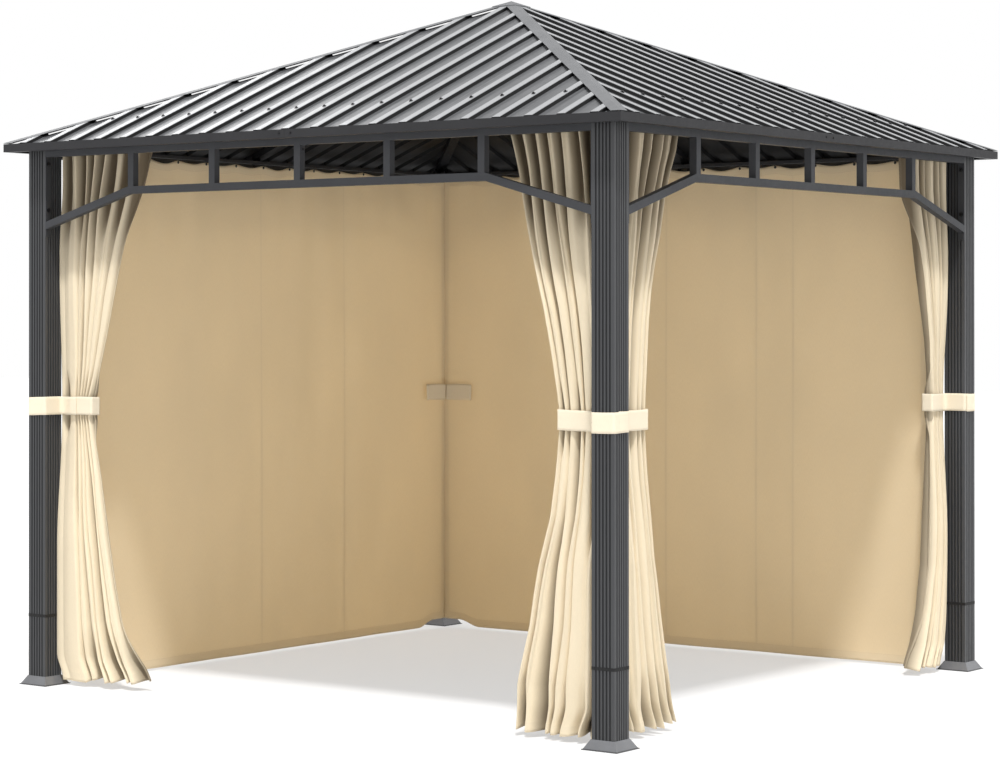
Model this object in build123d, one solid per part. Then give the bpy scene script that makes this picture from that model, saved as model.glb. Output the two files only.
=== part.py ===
from build123d import *
import math
import os

# A square garden gazebo: four fluted posts, an arched truss on each side, a ribbed hip roof and curtains.
# Millimetres, +Z up, origin on the ground at the centre of the plan, front towards -Y.

# Roof and eave
roof_side = 3000.0
roof_rise = 611.0
eave_height = 2188.0
eave_overhang = 74.0
fascia_height = 33.0
fascia_wall = 2.0
fascia_ledge = 28.0
fascia_cover = 12.0
fascia_joint_length = 120.0

# Roof sheets
sheet_thickness = 1.0
rib_pitch = 139.0
rib_count = 21
rib_height = 14.0
rib_crown = 32.0
rib_foot = 48.0
hip_gap = 3.0
hip_cap_width = 60.0
hip_cap_thickness = 1.5
peak_cap_side = 116.0
peak_cap_thickness = 3.0

# Posts
post_width = 94.0
post_wall = 2.0
flute_count = 5
flute_pitch = 14.5
flute_width = 8.0
flute_floor = 4.5
flute_depth = 3.6
splice_height = 283.0
splice_collar = 3.0
splice_length = 260.0
splice_wall = 2.0
cap_plate_thickness = 3.0

# Feet
foot_plate_side = 132.0
foot_plate_thickness = 4.0
anchor_radius = 4.5
anchor_offset = 12.0
cover_overhang = 27.0
cover_height = 36.0
cover_lip = 3.0
cover_lip_width = 4.0
cover_wall = 2.0

# Trusses
bar = 30.0
bar_wall = 1.5
beam_depth = 40.0
truss_depth = 203.0
upright_spacing = 429.0
uprights_each_side = 2
brace_fall = 132.0
end_plate_thickness = 3.0
end_plate_reach = 31.0
truss_joint_length = 80.0
truss_joint_thickness = 3.0
truss_joint_margin = 4.0

# Rafters
mid_rafter_width = 30.0
mid_rafter_depth = 26.0
hip_rafter_width = 40.0
hip_rafter_depth = 28.0
rafter_wall = 2.0
purlin_width = 25.0
purlin_depth = 20.0
purlin_distance = 800.0
saddle_wall = 3.0
saddle_length = 40.0
saddle_clearance = 3.0
hub_width = 120.0
hub_wall = 4.0
hub_margin = 6.0

# Curtains
rail_width = 16.0
rail_depth = 14.0
rail_wall = 2.0
rail_slot = 5.0
curtain_depth = 44.0
curtain_hem = 18.0
curtain_post_gap = 2.0
curtain_corner_gap = 1.0
cover_clearance = 1.0
bundle_depth_top = 50.0
bundle_depth_tie = 46.0
bundle_depth_hem = 104.0
tie_height = 1107.0
tie_band = 74.0
tie_thickness = 3.0
loop_width = 160.0
loop_depth = 12.0

# Width of each drawn-back curtain at its track, its tie and its hem
front_left_widths = (440.0, 168.0, 466.0)
front_right_widths = (412.0, 205.0, 370.0)
right_front_widths = (513.0, 276.0, 470.0)
right_back_widths = (340.0, 112.0, 340.0)

# Clearances
running_gap = 0.3

# Values worked out from the sizes above
half_roof = roof_side / 2
post_face = half_roof - eave_overhang
post_inside = post_face - post_width
post_centre = post_face - post_width / 2
eave_top = eave_height + fascia_height
roof_slope = roof_rise / half_roof
hip_slope = roof_slope / math.sqrt(2)
pitch_stretch = math.sqrt(1 + roof_slope ** 2)
sheet_drop = sheet_thickness * pitch_stretch
pan_edge_height = eave_top - fascia_cover
apex_height = pan_edge_height + roof_rise
crown_lift = rib_height * pitch_stretch
post_bore = post_width - 2 * (flute_depth + post_wall)
fascia_inside = half_roof - fascia_ledge
bar_inside = post_face - bar
curtain_outside = post_inside - curtain_post_gap
hook_plane = curtain_outside - curtain_depth / 2
rail_inside = hook_plane - rail_width / 2
mid_rafter_drop = mid_rafter_depth * pitch_stretch
hip_rafter_drop = hip_rafter_depth * math.sqrt(1 + hip_slope ** 2)
hip_backing = hip_rafter_width / 2 * hip_slope
hip_rafter_underside = apex_height - post_face * roof_slope - sheet_drop - hip_rafter_drop
beam_top = hip_rafter_underside - cap_plate_thickness - running_gap
beam_height = beam_top - beam_depth
rail_height = beam_top - truss_depth
brace_foot_height = rail_height - brace_fall
end_plate_height = brace_foot_height - end_plate_reach
rail_bottom = beam_top - rail_depth
curtain_top = rail_bottom - running_gap
rail_end = uprights_each_side * upright_spacing + bar / 2
truss_end = post_inside - end_plate_thickness
tie_reach = bundle_depth_tie + tie_thickness + 3 * running_gap
far = roof_side

sides = ("front", "right", "back", "left")
corners = ("front_left", "front_right", "back_right", "back_left")


def outline(points):
    return make_face(Polyline(*points, close=True))


def along_x(points, start, end):
    """A section given as (y, z) points, run along X."""
    return extrude(Plane.YZ.offset(start) * outline(points), amount=end - start)


def along_y(points, start, end):
    """A section given as (x, z) points, run along Y."""
    return extrude(Plane.XZ.offset(-end) * outline(points), amount=end - start)


def upwards(points, bottom, top):
    """A plan given as (x, y) points, raised from bottom to top."""
    return extrude(Pos(0, 0, bottom) * outline(points), amount=top - bottom)


def block(x, y, z):
    """A box given by its low and high limit on each axis."""
    middle = Pos((x[0] + x[1]) / 2, (y[0] + y[1]) / 2, (z[0] + z[1]) / 2)
    return middle * Box(x[1] - x[0], y[1] - y[0], z[1] - z[0])


def turned(shape, side):
    """The front piece moved to another side: 0 front, 1 right, 2 back, 3 left."""
    return Rot(0, 0, 90 * side) * shape


def together(shapes):
    """Solids that stay separate, kept as one piece."""
    return Compound([solid for shape in shapes for solid in shape.solids()])


def around(shape):
    """The front piece on all four sides."""
    return together([turned(shape, side) for side in range(4)])


def mirrored(shape):
    return mirror(shape, about=Plane.YZ)


def pair(shape):
    return together([shape, mirrored(shape)])


def roof_at(distance, depth=0.0):
    """Height of the sheets' pans at a plan distance from the centre, lowered by depth."""
    return apex_height - distance * roof_slope - depth


def hip_at(distance, depth=0.0):
    """Height of the hip line at a plan distance from the centre, measured on the diagonal."""
    return apex_height - distance * hip_slope - depth


def roof_pyramid(lift):
    """Everything below the roof surface raised by lift."""
    apex = apex_height + lift
    gable = along_x([(-far, apex - far * roof_slope), (0, apex), (far, apex - far * roof_slope)], -far, far)
    return gable & turned(gable, 1)


def side_wedge(gap=0.0):
    """The quarter of the plan that belongs to the front, short of the hips by gap."""
    set_back = gap * math.sqrt(2)
    plan = [(0, -set_back), (far - set_back, -far), (set_back - far, -far)]
    return upwards(plan, 0, 2 * apex_height)


def fluted_length(bottom, top):
    """A length of the hollow fluted post, standing on the Z axis."""
    profile = Rectangle(post_width, post_width) - Rectangle(post_bore, post_bore)
    floor = flute_depth - post_width / 2
    mouth = flute_width / 2
    base = flute_floor / 2
    groove = outline([(-mouth, -post_width / 2), (mouth, -post_width / 2), (base, floor), (-base, floor)])
    flutes = [
        Rot(0, 0, 90 * face) * Pos((i - (flute_count - 1) / 2) * flute_pitch) * groove
        for face in range(4)
        for i in range(flute_count)
    ]
    return extrude(Pos(0, 0, bottom) * (profile - flutes), amount=top - bottom)


def post_foot():
    """The lower length, welded to a plate with a hole for an anchor at each corner."""
    reach = post_width / 2 + anchor_offset
    half = foot_plate_side / 2
    plate = block((-half, half), (-half, half), (0, foot_plate_thickness))
    holes = GridLocations(2 * reach, 2 * reach, 2, 2) * Cylinder(anchor_radius, 3 * foot_plate_thickness)
    return plate - holes + fluted_length(foot_plate_thickness, splice_height)


def post_splice():
    """The square sleeve inside both lengths, with the collar that parts them."""
    outer = post_bore - 2 * running_gap
    inner = outer - 2 * splice_wall
    middle = splice_height + splice_collar / 2
    sleeve = Pos(0, 0, middle) * Box(outer, outer, splice_length)
    collar = Pos(0, 0, middle) * Box(post_width, post_width, splice_collar)
    return sleeve + collar - Pos(0, 0, middle) * Box(inner, inner, splice_length)


def frustum(low_side, high_side, low, high):
    """A square block whose sides lean in from one width to another."""
    lean = math.degrees(math.atan((low_side - high_side) / 2 / (high - low)))
    return extrude(Pos(0, 0, low) * Rectangle(low_side, low_side), amount=high - low, taper=lean)


def base_cover():
    """The square cover round the foot: a thin lip, then four sloping sides up to the post."""
    lip_side = post_width + 2 * cover_overhang
    low_side = lip_side - 2 * cover_lip_width
    high_side = post_width + 2 * (running_gap + cover_wall)
    lip = Pos(0, 0, cover_lip / 2) * Box(lip_side, lip_side, cover_lip)
    slopes = frustum(low_side, high_side, cover_lip, cover_height)
    hollow_low = low_side - 2 * cover_wall
    hollow = frustum(hollow_low, high_side - 2 * cover_wall, cover_lip, cover_height - cover_wall)
    floor_hole = Pos(0, 0, cover_lip / 2) * Box(hollow_low, hollow_low, cover_lip)
    post_hole = post_width + 2 * running_gap
    shell = lip + slopes - hollow - floor_hole
    return shell - Pos(0, 0, cover_height) * Box(post_hole, post_hole, cover_height)


def square_tube(x, z):
    """A tube of the truss, lying along the front between two limits in X."""
    y = (-post_face, -bar_inside)
    bore = block(x, (y[0] + bar_wall, y[1] - bar_wall), (z[0] + bar_wall, z[1] - bar_wall))
    return block(x, y, z) - bore


def upright_tube(x):
    y = (-post_face, -bar_inside)
    z = (rail_height + bar, beam_height)
    bore = block((x[0] + bar_wall, x[1] - bar_wall), (y[0] + bar_wall, y[1] - bar_wall), z)
    return block(x, y, z) - bore


def top_beam():
    return pair(square_tube((0, truss_end), (beam_height, beam_top)))


def lower_rail():
    return pair(square_tube((0, rail_end), (rail_height, rail_height + bar)))


def uprights():
    """Each half truss closes at the seam with a tube of half the width."""
    half_set = [upright_tube((0, bar / 2))]
    for i in range(1, uprights_each_side + 1):
        middle = i * upright_spacing
        half_set.append(upright_tube((middle - bar / 2, middle + bar / 2)))
    return pair(together(half_set))


def truss_joints():
    """The plates on the inner faces of the beam and the rail, over the seam of a truss."""
    half = truss_joint_length / 2
    y = (-bar_inside, truss_joint_thickness - bar_inside)
    tubes = ((beam_height, beam_top), (rail_height, rail_height + bar))
    spans = [(low + truss_joint_margin, high - truss_joint_margin) for low, high in tubes]
    return together([block((-half, half), y, z) for z in spans])


def braces():
    """The sloping tube from the rail's end to the post, and the plate bolted to the post."""
    def slanted(inset):
        high = rail_height + inset
        low = brace_foot_height + inset
        tall = bar - 2 * inset
        return [(rail_end, high), (truss_end, low), (truss_end, low + tall), (rail_end, high + tall)]

    tube = along_y(slanted(0), -post_face, -bar_inside)
    tube -= along_y(slanted(bar_wall), -post_face + bar_wall, -bar_inside - bar_wall)
    plate = block((truss_end, post_inside), (-post_face, -bar_inside), (end_plate_height, beam_top))
    return pair(together([tube, plate]))


def fascia():
    """The eave's two lengths, mitred at the corners: a face, a lip below and a ledge for the sheet."""
    def ledge_at(distance, depth=0.0):
        return (-distance, roof_at(distance, sheet_drop + depth))

    behind_face = half_roof - fascia_wall
    section = [
        (-half_roof, eave_height),
        (-half_roof, eave_top),
        (-behind_face, eave_top),
        ledge_at(behind_face),
        ledge_at(fascia_inside),
        ledge_at(fascia_inside, fascia_wall),
        ledge_at(behind_face, fascia_wall),
        (-behind_face, eave_height + fascia_wall),
        (-fascia_inside, eave_height + fascia_wall),
        (-fascia_inside, eave_height),
    ]
    return pair(along_x(section, running_gap, far) & side_wedge())


def fascia_joint():
    """The strip behind the seam of a fascia, tying its two lengths together."""
    half = fascia_joint_length / 2
    behind_face = half_roof - fascia_wall
    z = (eave_height + fascia_wall, roof_at(behind_face, sheet_drop + fascia_wall))
    return block((-half, half), (-behind_face, fascia_wall - behind_face), z)


def roof_sheet():
    """The ribbed sheet of one side: its section runs up the slope and is cut along both hips."""
    crown = rib_crown / 2
    foot = rib_foot / 2
    top = [(-far, 0)]
    for i in range(rib_count):
        middle = (i - (rib_count - 1) / 2) * rib_pitch
        top += [(middle - foot, 0), (middle - crown, rib_height)]
        top += [(middle + crown, rib_height), (middle + foot, 0)]
    top.append((far, 0))
    bottom = [(x, z - sheet_thickness) for x, z in reversed(top)]
    flat = along_y(top + bottom, 0, far)
    sloped = Pos(0, -half_roof, pan_edge_height) * Rot(math.degrees(math.atan(roof_slope)), 0, 0) * flat
    eave_edge = half_roof - fascia_wall - running_gap
    plan = side_wedge(hip_gap) & block((-far, far), (-eave_edge, 0), (0, 2 * apex_height))
    return sloped & plan


def hip_strip(width, start, end):
    """A band of the plan along the hip, on the quarter of the front left corner."""
    band = block((-width / 2, width / 2), (-end, -start), (0, 2 * apex_height))
    quarter = block((-far, 0), (-far, 0), (0, 2 * apex_height))
    return Rot(0, 0, -45) * band & quarter


def hip_cap():
    """The folded strip over the hip, resting on the crowns of the ribs on both sides."""
    shell = roof_pyramid(crown_lift + hip_cap_thickness) - roof_pyramid(crown_lift)
    eave = block((-half_roof, 0), (-half_roof, 0), (0, 2 * apex_height))
    return shell & hip_strip(hip_cap_width, 0, 2 * half_roof) & eave


def peak_cap():
    low = crown_lift + hip_cap_thickness
    half = peak_cap_side / 2
    shell = roof_pyramid(low + peak_cap_thickness) - roof_pyramid(low)
    return shell & block((-half, half), (-half, half), (0, 2 * apex_height))


def mid_rafter():
    """The tube from the hub to the fascia at the middle of a side, over the top beam."""
    def slanted(inset):
        start = hub_width / 2
        return [
            (-fascia_inside, roof_at(fascia_inside, sheet_drop + inset)),
            (-start, roof_at(start, sheet_drop + inset)),
            (-start, roof_at(start, sheet_drop + mid_rafter_drop - inset)),
            (-fascia_inside, roof_at(fascia_inside, sheet_drop + mid_rafter_drop - inset)),
        ]

    half = mid_rafter_width / 2
    tube = along_x(slanted(0), -half, half)
    return tube - along_x(slanted(rafter_wall), rafter_wall - half, half - rafter_wall)


def hip_rafter():
    """The tube under the hip, with its top bevelled to both sheets and its end at the fascia's corner."""
    start = hub_width / 2
    end = fascia_inside * math.sqrt(2)
    half = hip_rafter_width / 2

    def slanted(top_inset, low_inset):
        return [
            (-end, hip_at(end, sheet_drop + top_inset)),
            (-start, hip_at(start, sheet_drop + top_inset)),
            (-start, hip_at(start, sheet_drop + hip_rafter_drop - low_inset)),
            (-end, hip_at(end, sheet_drop + hip_rafter_drop - low_inset)),
        ]

    tube = along_x(slanted(0, 0), -half, half)
    tube -= along_x(slanted(hip_backing + rafter_wall, rafter_wall), rafter_wall - half, half - rafter_wall)
    corner = block((-fascia_inside, 0), (-fascia_inside, 0), (0, apex_height))
    return Rot(0, 0, -45) * tube & roof_pyramid(-sheet_drop) & corner


def purlin():
    """Half of the cross bar under a sheet, from the middle rafter to the hip rafter."""
    side_gap = mid_rafter_width / 2
    hip_side = hip_rafter_width / math.sqrt(2)
    near = purlin_distance - purlin_width / 2
    away = purlin_distance + purlin_width / 2
    drop = sheet_drop + purlin_depth
    section = [
        (-away, roof_at(away, sheet_drop)),
        (-near, roof_at(near, sheet_drop)),
        (-near, roof_at(near, drop)),
        (-away, roof_at(away, drop)),
    ]
    plan = [(side_gap, -side_gap - hip_side), (side_gap, -far), (far - hip_side, -far)]
    return along_x(section, side_gap, far) & upwards(plan, 0, 2 * apex_height)


def saddle(inside_width, base, top, length):
    """A U bracket, open upwards, that holds a rafter between its cheeks."""
    half_in = inside_width / 2
    half_out = half_in + saddle_wall
    section = [
        (-half_out, base),
        (half_out, base),
        (half_out, top),
        (half_in, top),
        (half_in, base + saddle_wall),
        (-half_in, base + saddle_wall),
        (-half_in, top),
        (-half_out, top),
    ]
    return along_y(section, -length / 2, length / 2)


def rafter_saddles():
    """One on each beam's middle, its base run inwards over the curtain rail, and one on each post."""
    base = beam_top + cap_plate_thickness
    mid_top = roof_at(post_face, sheet_drop) - saddle_clearance
    mid_width = mid_rafter_width + 2 * running_gap
    mid = Pos(0, bar / 2 - post_face) * saddle(mid_width, beam_top, mid_top, bar)
    arm_half = mid_width / 2 + saddle_wall
    mid += block((-arm_half, arm_half), (-bar_inside, -rail_inside), (beam_top, base))
    hip_line = post_centre * math.sqrt(2)
    hip_width = hip_rafter_width + 2 * running_gap
    corner = hip_line + saddle_length / 2 + hip_width / 2 + saddle_wall
    hip_top = hip_at(corner, sheet_drop) - saddle_clearance
    hip = Pos(0, -hip_line) * saddle(hip_width, base, hip_top, saddle_length)
    return around(together([mid, Rot(0, 0, -45) * hip]))


def peak_hub():
    """The eight-sided ring that all the rafters run into, closed by a plate below."""
    radius = hub_width / 2 / math.cos(math.pi / 8)
    bottom = hip_at(hub_width / 2, sheet_drop + hip_rafter_drop) - hub_margin
    ring = Pos(0, 0, bottom) * extrude(RegularPolygon(radius, 8, rotation=22.5), amount=apex_height - bottom)
    bore = RegularPolygon(radius - hub_wall / math.cos(math.pi / 8), 8, rotation=22.5)
    ring -= Pos(0, 0, bottom + hub_wall) * extrude(bore, amount=apex_height)
    return ring & roof_pyramid(-sheet_drop)


def cap_plate():
    """The plate that closes a post and reaches inwards over the corner of the curtain rails."""
    span = (-post_face, -rail_inside)
    return block(span, span, (beam_top, beam_top + cap_plate_thickness))


def curtain_rail():
    """The channel that the hooks run in, slotted below and mitred at the corners."""
    half = rail_width / 2
    half_slot = rail_slot / 2
    section = [
        (half, rail_bottom),
        (half, beam_top),
        (-half, beam_top),
        (-half, rail_bottom),
        (-half_slot, rail_bottom),
        (-half_slot, rail_bottom + rail_wall),
        (rail_wall - half, rail_bottom + rail_wall),
        (rail_wall - half, beam_top - rail_wall),
        (half - rail_wall, beam_top - rail_wall),
        (half - rail_wall, rail_bottom + rail_wall),
        (half_slot, rail_bottom + rail_wall),
        (half_slot, rail_bottom),
    ]
    return Pos(0, -hook_plane) * along_x(section, -far, far) & side_wedge()


def cover_notches():
    """What a curtain leaves free above the base covers at both ends of the front."""
    reach = post_inside - cover_overhang - cover_clearance
    notch = block((-post_face, -reach), (-post_face, -reach), (0, cover_height + cover_clearance))
    return notch + mirrored(notch)


def fitted(curtain):
    """A curtain of the front, kept to its quarter of the plan and off the base covers."""
    return (curtain & side_wedge(curtain_corner_gap / 2)) - cover_notches()


def closed_curtain():
    """The drawn curtain as a plain slab, from the tie at its left end to the corner at its right end."""
    start = tie_reach - curtain_outside
    y = (-curtain_outside, curtain_depth - curtain_outside)
    return fitted(block((start, curtain_outside), y, (curtain_hem, curtain_top)))


def bundle(widths):
    """A curtain gathered against the front's left post: widest at the rail and the hem, narrow at its tie."""
    def hanging(sizes):
        heights = (curtain_top, tie_height + tie_band, tie_height, curtain_hem)
        free_edge = [(size - curtain_outside, height) for size, height in zip(sizes, heights)]
        return [(-curtain_outside, curtain_top), *free_edge, (-curtain_outside, curtain_hem)]

    spans = (widths[0], widths[1], widths[1], widths[2])
    depths = (bundle_depth_top, bundle_depth_tie, bundle_depth_tie, bundle_depth_hem)
    return fitted(along_y(hanging(spans), -post_face, 0) & along_x(hanging(depths), -post_face, 0))


def tie_ring(held):
    """A tie of cloth drawn round a plan outline."""
    plan = outline(held)
    outer = offset(plan, amount=running_gap + tie_thickness, kind=Kind.INTERSECTION)
    inner = offset(plan, amount=running_gap, kind=Kind.INTERSECTION)
    return extrude(Pos(0, 0, tie_height) * (outer - inner), amount=tie_band)


def single_tie(width):
    """Round the front's left post and the curtain beside it."""
    end = width - curtain_outside
    inward = bundle_depth_tie - curtain_outside
    return tie_ring([
        (-post_face, -post_face),
        (-post_inside, -post_face),
        (end, -curtain_outside),
        (end, inward),
        (-curtain_outside, inward),
        (-post_face, -post_inside),
    ])


def corner_tie(front_width, right_width):
    """Round the front right post and the curtain on each side of it."""
    front_end = curtain_outside - front_width
    right_end = right_width - curtain_outside
    inward = curtain_outside - bundle_depth_tie
    return tie_ring([
        (post_face, -post_face),
        (post_face, -post_inside),
        (curtain_outside, right_end),
        (inward, right_end),
        (front_end, -inward),
        (front_end, -curtain_outside),
        (post_inside, -post_face),
    ])


def tie_loop():
    """A loose tie on the back curtain, held flat against it beside the corner with the left curtain."""
    near = curtain_outside - curtain_depth - running_gap
    x = (-near, loop_width - near)
    return block(x, (near - loop_depth, near), (tie_height, tie_height + tie_band)) & turned(side_wedge(), 2)


def main():
    nodes = {}
    foot = post_foot()
    upper = fluted_length(splice_height + splice_collar, beam_top)
    cover = base_cover()
    at_corner = Pos(-post_centre, -post_centre)
    for number, corner in enumerate(corners):
        nodes["post_" + corner] = turned(at_corner * upper, number)
        nodes["post_foot_" + corner] = turned(at_corner * foot, number)
        nodes["base_cover_" + corner] = turned(at_corner * cover, number)
    nodes["post_splices"] = around(at_corner * post_splice())
    nodes["post_cap_plates"] = around(cap_plate())

    side_pieces = {
        "top_beam": top_beam(),
        "lower_rail": lower_rail(),
        "uprights": uprights(),
        "braces": braces(),
        "fascia": fascia(),
        "roof_sheet": roof_sheet(),
    }
    for number, side in enumerate(sides):
        for name, piece in side_pieces.items():
            nodes[side + "_" + name] = turned(piece, number)
    nodes["truss_joints"] = around(truss_joints())
    nodes["fascia_joints"] = around(fascia_joint())

    nodes["hip_caps"] = around(hip_cap())
    nodes["peak_cap"] = peak_cap()
    nodes["hip_rafters"] = around(hip_rafter())
    nodes["mid_rafters"] = around(mid_rafter())
    nodes["purlins"] = around(pair(purlin()))
    nodes["rafter_saddles"] = rafter_saddles()
    nodes["peak_hub"] = peak_hub()
    nodes["curtain_rails"] = around(curtain_rail())

    curtain = closed_curtain()
    nodes["back_curtain"] = turned(curtain, 2)
    nodes["left_curtain"] = turned(mirrored(curtain), 3)
    nodes["front_left_bundle"] = bundle(front_left_widths)
    nodes["front_right_bundle"] = mirrored(bundle(front_right_widths))
    nodes["right_front_bundle"] = turned(bundle(right_front_widths), 1)
    nodes["right_back_bundle"] = turned(mirrored(bundle(right_back_widths)), 1)
    nodes["front_left_tie"] = single_tie(front_left_widths[1])
    nodes["front_right_tie"] = corner_tie(front_right_widths[1], right_front_widths[1])
    nodes["back_right_tie"] = turned(mirrored(single_tie(right_back_widths[1])), 1)
    loop = tie_loop()
    nodes["tie_loops"] = together([loop, turned(mirrored(loop), 1)])

    os.makedirs("parts", exist_ok=True)
    for name, shape in nodes.items():
        export_step(shape, "parts/" + name + ".step")


main()
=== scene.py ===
import math
import random

import bmesh
import bpy
import numpy as np
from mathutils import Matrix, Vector


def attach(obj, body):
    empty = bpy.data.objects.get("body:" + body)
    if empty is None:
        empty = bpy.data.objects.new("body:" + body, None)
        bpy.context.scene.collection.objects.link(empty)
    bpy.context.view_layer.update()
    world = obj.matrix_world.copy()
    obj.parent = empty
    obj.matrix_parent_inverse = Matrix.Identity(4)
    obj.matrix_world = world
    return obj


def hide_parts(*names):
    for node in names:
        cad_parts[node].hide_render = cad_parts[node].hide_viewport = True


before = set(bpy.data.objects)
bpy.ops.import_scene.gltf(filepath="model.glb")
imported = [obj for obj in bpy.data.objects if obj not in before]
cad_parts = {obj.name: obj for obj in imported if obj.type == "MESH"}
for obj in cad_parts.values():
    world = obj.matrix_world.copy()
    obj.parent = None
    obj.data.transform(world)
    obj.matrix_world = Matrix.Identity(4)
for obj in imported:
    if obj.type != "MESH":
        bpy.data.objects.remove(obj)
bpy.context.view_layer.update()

# Sizes of the frame that the added pieces follow, in metres
site = {
    "roofSide": 1.5,  # half the roof
    "roofRise": 0.611,
    "panEdge": 2.209,  # height of the pans at the eave
    "ribPitch": 0.139,
    "ribCount": 21,
    "ribLift": 0.0151,  # crowns above the pans
    "eaveLow": 2.188,
    "postFace": 1.426,  # outer face of the posts
    "postInside": 1.332,
    "postMiddle": 1.379,
    "barSide": 0.030,
    "barInside": 1.396,
    "beamLow": 2.1656,
    "railLow": 2.0026,
    "curtainOutside": 1.330,  # outer face of the solids that stand for the curtains
    "hookPlane": 1.308,  # middle of the curtain rails
    "curtainTop": 2.1880,
    "curtainHem": 0.018,
    "wallInside": 1.2857,  # inner face of the solids that stand for the closed curtains
    "tieLow": 1.107,
    "tieHigh": 1.181,
}
roofSlope = site["roofRise"] / site["roofSide"]
apexHeight = site["panEdge"] + site["roofRise"]


def turned(point, side):
    # a point or direction of the front moved to another side
    x, y, z = point
    for _ in range(side):
        x, y = -y, x
    return (x, y, z)


def panHeight(distance):
    return apexHeight - distance * roofSlope


def newPiece(name, data):
    piece = bpy.data.objects.new(name, data)
    bpy.context.collection.objects.link(piece)
    return piece


# Colours are written as on screen, from 0 to 255
def paint(red, green, blue):
    def linear(value):
        value /= 255
        return value / 12.92 if value <= 0.04045 else ((value + 0.055) / 1.055) ** 2.4

    return (linear(red), linear(green), linear(blue), 1.0)


def shaded(colour, factor):
    return tuple(value * factor for value in colour[:3]) + (1.0,)


# Inputs are plain values or the sockets of other nodes
def setInputs(tree, node, inputs):
    for socket, value in inputs.items():
        if isinstance(value, bpy.types.NodeSocket):
            tree.links.new(value, node.inputs[socket])
        else:
            node.inputs[socket].default_value = value


def addNode(tree, kind, inputs=None, **settings):
    node = tree.nodes.new(kind)
    for setting, value in settings.items():
        setattr(node, setting, value)
    setInputs(tree, node, inputs or {})
    return node.outputs


def startMaterial(name):
    material = bpy.data.materials.new(name)
    material.use_nodes = True
    tree = material.node_tree
    tree.nodes.clear()
    output = tree.nodes.new("ShaderNodeOutputMaterial")
    shader = tree.nodes.new("ShaderNodeBsdfPrincipled")
    tree.links.new(shader.outputs["BSDF"], output.inputs["Surface"])
    return material, tree, shader


def mixShaders(tree, output, share, first, second):
    both = addNode(tree, "ShaderNodeMixShader", {"Fac": share, 1: first, 2: second})
    tree.links.new(both["Shader"], output.inputs["Surface"])


def objectPlace(tree, scale=(1, 1, 1)):
    place = addNode(tree, "ShaderNodeTexCoord")["Object"]
    return addNode(tree, "ShaderNodeMapping", {"Vector": place, "Scale": scale})["Vector"]


def surfacePlace(tree, scale=(1, 1, 1)):
    place = addNode(tree, "ShaderNodeUVMap", uv_map="cloth")["UV"]
    return addNode(tree, "ShaderNodeMapping", {"Vector": place, "Scale": scale})["Vector"]


def noise(tree, place, scale, detail=3.0, roughness=0.5):
    inputs = {"Vector": place, "Scale": scale, "Detail": detail, "Roughness": roughness}
    return addNode(tree, "ShaderNodeTexNoise", inputs)["Fac"]


def rangeOf(tree, value, low, high, fromLow=0.3, fromHigh=0.7):
    inputs = {"Value": value, "From Min": fromLow, "From Max": fromHigh, "To Min": low, "To Max": high}
    return addNode(tree, "ShaderNodeMapRange", inputs)["Result"]


def blendColours(tree, factor, first, second):
    return addNode(tree, "ShaderNodeMix", {"Factor": factor, 6: first, 7: second}, data_type="RGBA")[2]


def calculate(tree, operation, first, second=0.0):
    return addNode(tree, "ShaderNodeMath", {0: first, 1: second}, operation=operation)["Value"]


def bump(tree, shader, height, distance, strength=1.0, under=None):
    inputs = {"Height": height, "Distance": distance, "Strength": strength}
    if under is not None:
        inputs["Normal"] = under
    normal = addNode(tree, "ShaderNodeBump", inputs)["Normal"]
    tree.links.new(normal, shader.inputs["Normal"])
    return normal


def coordinates(tree):
    split = addNode(tree, "ShaderNodeSeparateXYZ", {"Vector": objectPlace(tree)})
    return split["X"], split["Y"], split["Z"]


# Noise scales, and lengths in metres, of the paint, the plastic and the zinc
grain = {
    "patches": 5.0,
    "rub": 38.0,
    "peel": 900.0,
    "peelDepth": 0.00012,
    "mottle": 12.0,
    "moulding": 1200.0,
    "mouldingDepth": 0.0001,
    "zinc": 300.0,
    "zincDepth": 0.00005,
    "grooveFloor": 0.0034,  # depths below a post's face, between which the shade of a flute fades
    "grooveEdge": 0.0006,
    "lipTop": 0.0032,  # heights between which the shade of a base cover's lip fades
    "lipEnd": 0.0045,
}


def postGrooveShade(tree):
    # 1 on the floor of the flutes, where shade is painted into the coat, by the distance from the middle of
    # the nearest post
    away = []
    for value in coordinates(tree)[:2]:
        fromMiddle = calculate(tree, "SUBTRACT", calculate(tree, "ABSOLUTE", value), site["postMiddle"])
        away.append(calculate(tree, "ABSOLUTE", fromMiddle))
    land = site["postFace"] - site["postMiddle"]
    farther = calculate(tree, "MAXIMUM", away[0], away[1])
    return rangeOf(tree, farther, 1, 0, land - grain["grooveFloor"], land - grain["grooveEdge"])


def coverLipShade(tree):
    # 1 on the upright lip at the ground, where shade is painted into the coat
    return rangeOf(tree, coordinates(tree)[2], 1, 0, grain["lipTop"], grain["lipEnd"])


# A colour that noise makes darker and lighter between two factors
def toned(tree, tones, colour, dark, light):
    return blendColours(tree, rangeOf(tree, tones, 0, 1), shaded(colour, dark), shaded(colour, light))
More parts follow.
